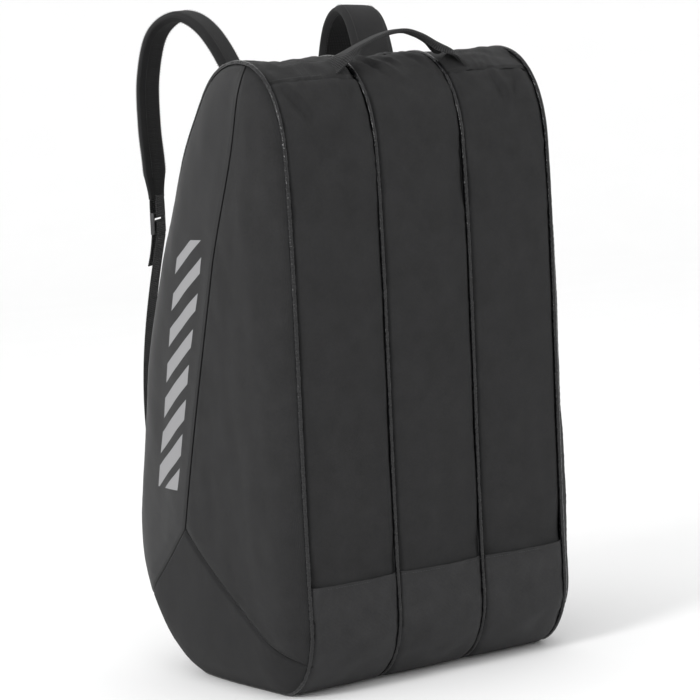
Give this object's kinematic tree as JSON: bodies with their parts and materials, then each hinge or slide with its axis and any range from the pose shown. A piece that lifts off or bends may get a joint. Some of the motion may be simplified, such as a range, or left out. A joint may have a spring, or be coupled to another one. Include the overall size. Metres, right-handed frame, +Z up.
{
  "type": "racket bag",
  "caption": "Tall soft racket bag with side-by-side compartments, arched back zips, curved shoulder straps and a webbing grab handle.",
  "frame": {"origin": "middle of the flat underside of the base, where the bag rests, on its middle plane", "axes": "+Z up the bag, from the wide base to the narrower top; +X across the compartments, to the right of someone who faces the plain front; +Y from the plain front to the back with the zips and straps"},
  "size_m": [0.478, 0.4475, 0.8432],
  "materials": {
    "woven_cloth": "matt woven polyester",
    "coated_cloth": "matt coated tarpaulin cloth",
    "ripstop_cloth": "ripstop polyester",
    "corner_cloth": "matt woven polyester",
    "lining_cloth": "thin lining cloth",
    "piping_vinyl": "glossy vinyl piping",
    "webbing": "ribbed webbing",
    "strap_cloth": "padded strap cloth",
    "zip_tape": "woven zip tape",
    "moulded_buckle": "satin moulded acetal",
    "zip_metal": "plated zip metal"
  },
  "bodies": {
    "bag": {"base_guard_left": "coated_cloth", "base_guard_middle": "coated_cloth", "base_guard_right": "coated_cloth", "divider_left": "lining_cloth", "divider_right": "lining_cloth", "front_panel_left": "woven_cloth", "front_panel_middle": "woven_cloth", "front_panel_right": "woven_cloth", "handle_anchor_left": "webbing", "handle_anchor_right": "webbing", "lower_back_panel_left": "woven_cloth", "lower_back_panel_middle": "woven_cloth", "lower_back_panel_right": "woven_cloth", "piping_inner_left": "piping_vinyl", "piping_inner_right": "piping_vinyl", "piping_outer_left": "piping_vinyl", "piping_outer_right": "piping_vinyl", "side_band_left": "coated_cloth", "side_band_right": "coated_cloth", "side_corner_left": "corner_cloth", "side_corner_right": "corner_cloth", "side_main_left": "woven_cloth", "side_main_right": "woven_cloth", "strap_root_left": "strap_cloth", "strap_root_right": "strap_cloth", "strap_tab_left": "webbing", "strap_tab_right": "webbing", "top_panel_left": "ripstop_cloth", "top_panel_middle": "ripstop_cloth", "top_panel_right": "ripstop_cloth", "zip_edge_tape_left": "zip_tape", "zip_edge_tape_right": "zip_tape", "zip_foot_tape_left": "zip_tape", "zip_foot_tape_middle": "zip_tape", "zip_foot_tape_right": "zip_tape", "zip_top_tape_left": "zip_tape", "zip_top_tape_middle": "zip_tape", "zip_top_tape_right": "zip_tape"},
    "flap_left": {"mouth_flap_left": "woven_cloth"},
    "flap_middle_left": {"mouth_flap_middle_left": "woven_cloth"},
    "flap_middle_right": {"mouth_flap_middle_right": "woven_cloth"},
    "flap_right": {"mouth_flap_right": "woven_cloth"},
    "slider_left": {"zip_slider_left": "zip_metal"},
    "puller_left": {"zip_puller_left": "zip_metal"},
    "slider_middle": {"zip_slider_middle": "zip_metal"},
    "puller_middle": {"zip_puller_middle": "zip_metal"},
    "slider_right": {"zip_slider_right": "zip_metal"},
    "puller_right": {"zip_puller_right": "zip_metal"},
    "handle": {"grab_handle": "webbing"},
    "strap_left": {"strap_pad_left": "strap_cloth", "strap_webbing_left": "webbing", "lock_loop_left": "webbing"},
    "lock_left": {"ladder_lock_left": "moulded_buckle", "webbing_wrap_left": "webbing"},
    "strap_right": {"strap_pad_right": "strap_cloth", "strap_webbing_right": "webbing", "lock_loop_right": "webbing"},
    "lock_right": {"ladder_lock_right": "moulded_buckle", "webbing_wrap_right": "webbing"}
  },
  "joints": [
    {"name": "zip_left_travel", "type": "hinge", "parent": "bag", "child": "slider_left", "pos_m": [0, -1.44001, -0.15777], "axis": [-1, 0, 0], "range_deg": [0, 15.65]},
    {"name": "zip_middle_travel", "type": "hinge", "parent": "bag", "child": "slider_middle", "pos_m": [0, -1.44001, -0.15777], "axis": [-1, 0, 0], "range_deg": [0, 15.65]},
    {"name": "zip_right_travel", "type": "hinge", "parent": "bag", "child": "slider_right", "pos_m": [0, -1.44001, -0.15777], "axis": [-1, 0, 0], "range_deg": [0, 15.65]},
    {"name": "puller_left_swing", "type": "hinge", "parent": "slider_left", "child": "puller_left", "pos_m": [-0.184, 0.03542, 0.69513], "axis": [1, 0, 0], "range_deg": [0, 150]},
    {"name": "puller_middle_swing", "type": "hinge", "parent": "slider_middle", "child": "puller_middle", "pos_m": [0, 0.03888, 0.69713], "axis": [1, 0, 0], "range_deg": [0, 150]},
    {"name": "puller_right_swing", "type": "hinge", "parent": "slider_right", "child": "puller_right", "pos_m": [0.184, 0.03542, 0.69513], "axis": [1, 0, 0], "range_deg": [0, 150]},
    {"name": "flap_left_open", "type": "hinge", "parent": "bag", "child": "flap_left", "pos_m": [-0.0633, 0.15104, 0.43678], "axis": [0, 0.35, -0.9367], "range_deg": [0, 18.5]},
    {"name": "flap_middle_left_open", "type": "hinge", "parent": "bag", "child": "flap_middle_left", "pos_m": [-0.0633, 0.15104, 0.43678], "axis": [0, -0.35, 0.9367], "range_deg": [0, 50.5]},
    {"name": "flap_middle_right_open", "type": "hinge", "parent": "bag", "child": "flap_middle_right", "pos_m": [0.0633, 0.15104, 0.43678], "axis": [0, 0.35, -0.9367], "range_deg": [0, 50.5]},
    {"name": "flap_right_open", "type": "hinge", "parent": "bag", "child": "flap_right", "pos_m": [0.0633, 0.15104, 0.43678], "axis": [0, -0.35, 0.9367], "range_deg": [0, 18.5]},
    {"name": "handle_swing", "type": "hinge", "parent": "bag", "child": "handle", "pos_m": [0, -0.125, 0.764], "axis": [1, 0, 0], "range_deg": [-40, 40]},
    {"name": "strap_left_swing", "type": "hinge", "parent": "bag", "child": "strap_left", "pos_m": [-0.0877, 0.083, 0.668], "axis": [0.1376, -0.27, 0.953], "range_deg": [-5, 20]},
    {"name": "lock_left_tilt", "type": "hinge", "parent": "strap_left", "child": "lock_left", "pos_m": [-0.16856, 0.20106, 0.58554], "axis": [0.8074, 0.5879, 0.05], "range_deg": [0, 25]},
    {"name": "strap_right_swing", "type": "hinge", "parent": "bag", "child": "strap_right", "pos_m": [0.1075, 0.083, 0.668], "axis": [-0.0143, 0.2726, -0.962], "range_deg": [-5, 20]},
    {"name": "lock_right_tilt", "type": "hinge", "parent": "strap_right", "child": "lock_right", "pos_m": [0.13899, 0.25526, 0.58445], "axis": [0.9738, -0.2145, -0.0752], "range_deg": [0, 25]}
  ],
  "couplings": [
    {"joint": "flap_left_open", "follows": "zip_left_travel", "ratio": 1.15},
    {"joint": "flap_middle_left_open", "follows": "zip_middle_travel", "ratio": 3.1945},
    {"joint": "flap_middle_right_open", "follows": "zip_middle_travel", "ratio": 3.1945},
    {"joint": "flap_right_open", "follows": "zip_right_travel", "ratio": 1.15}
  ]
}
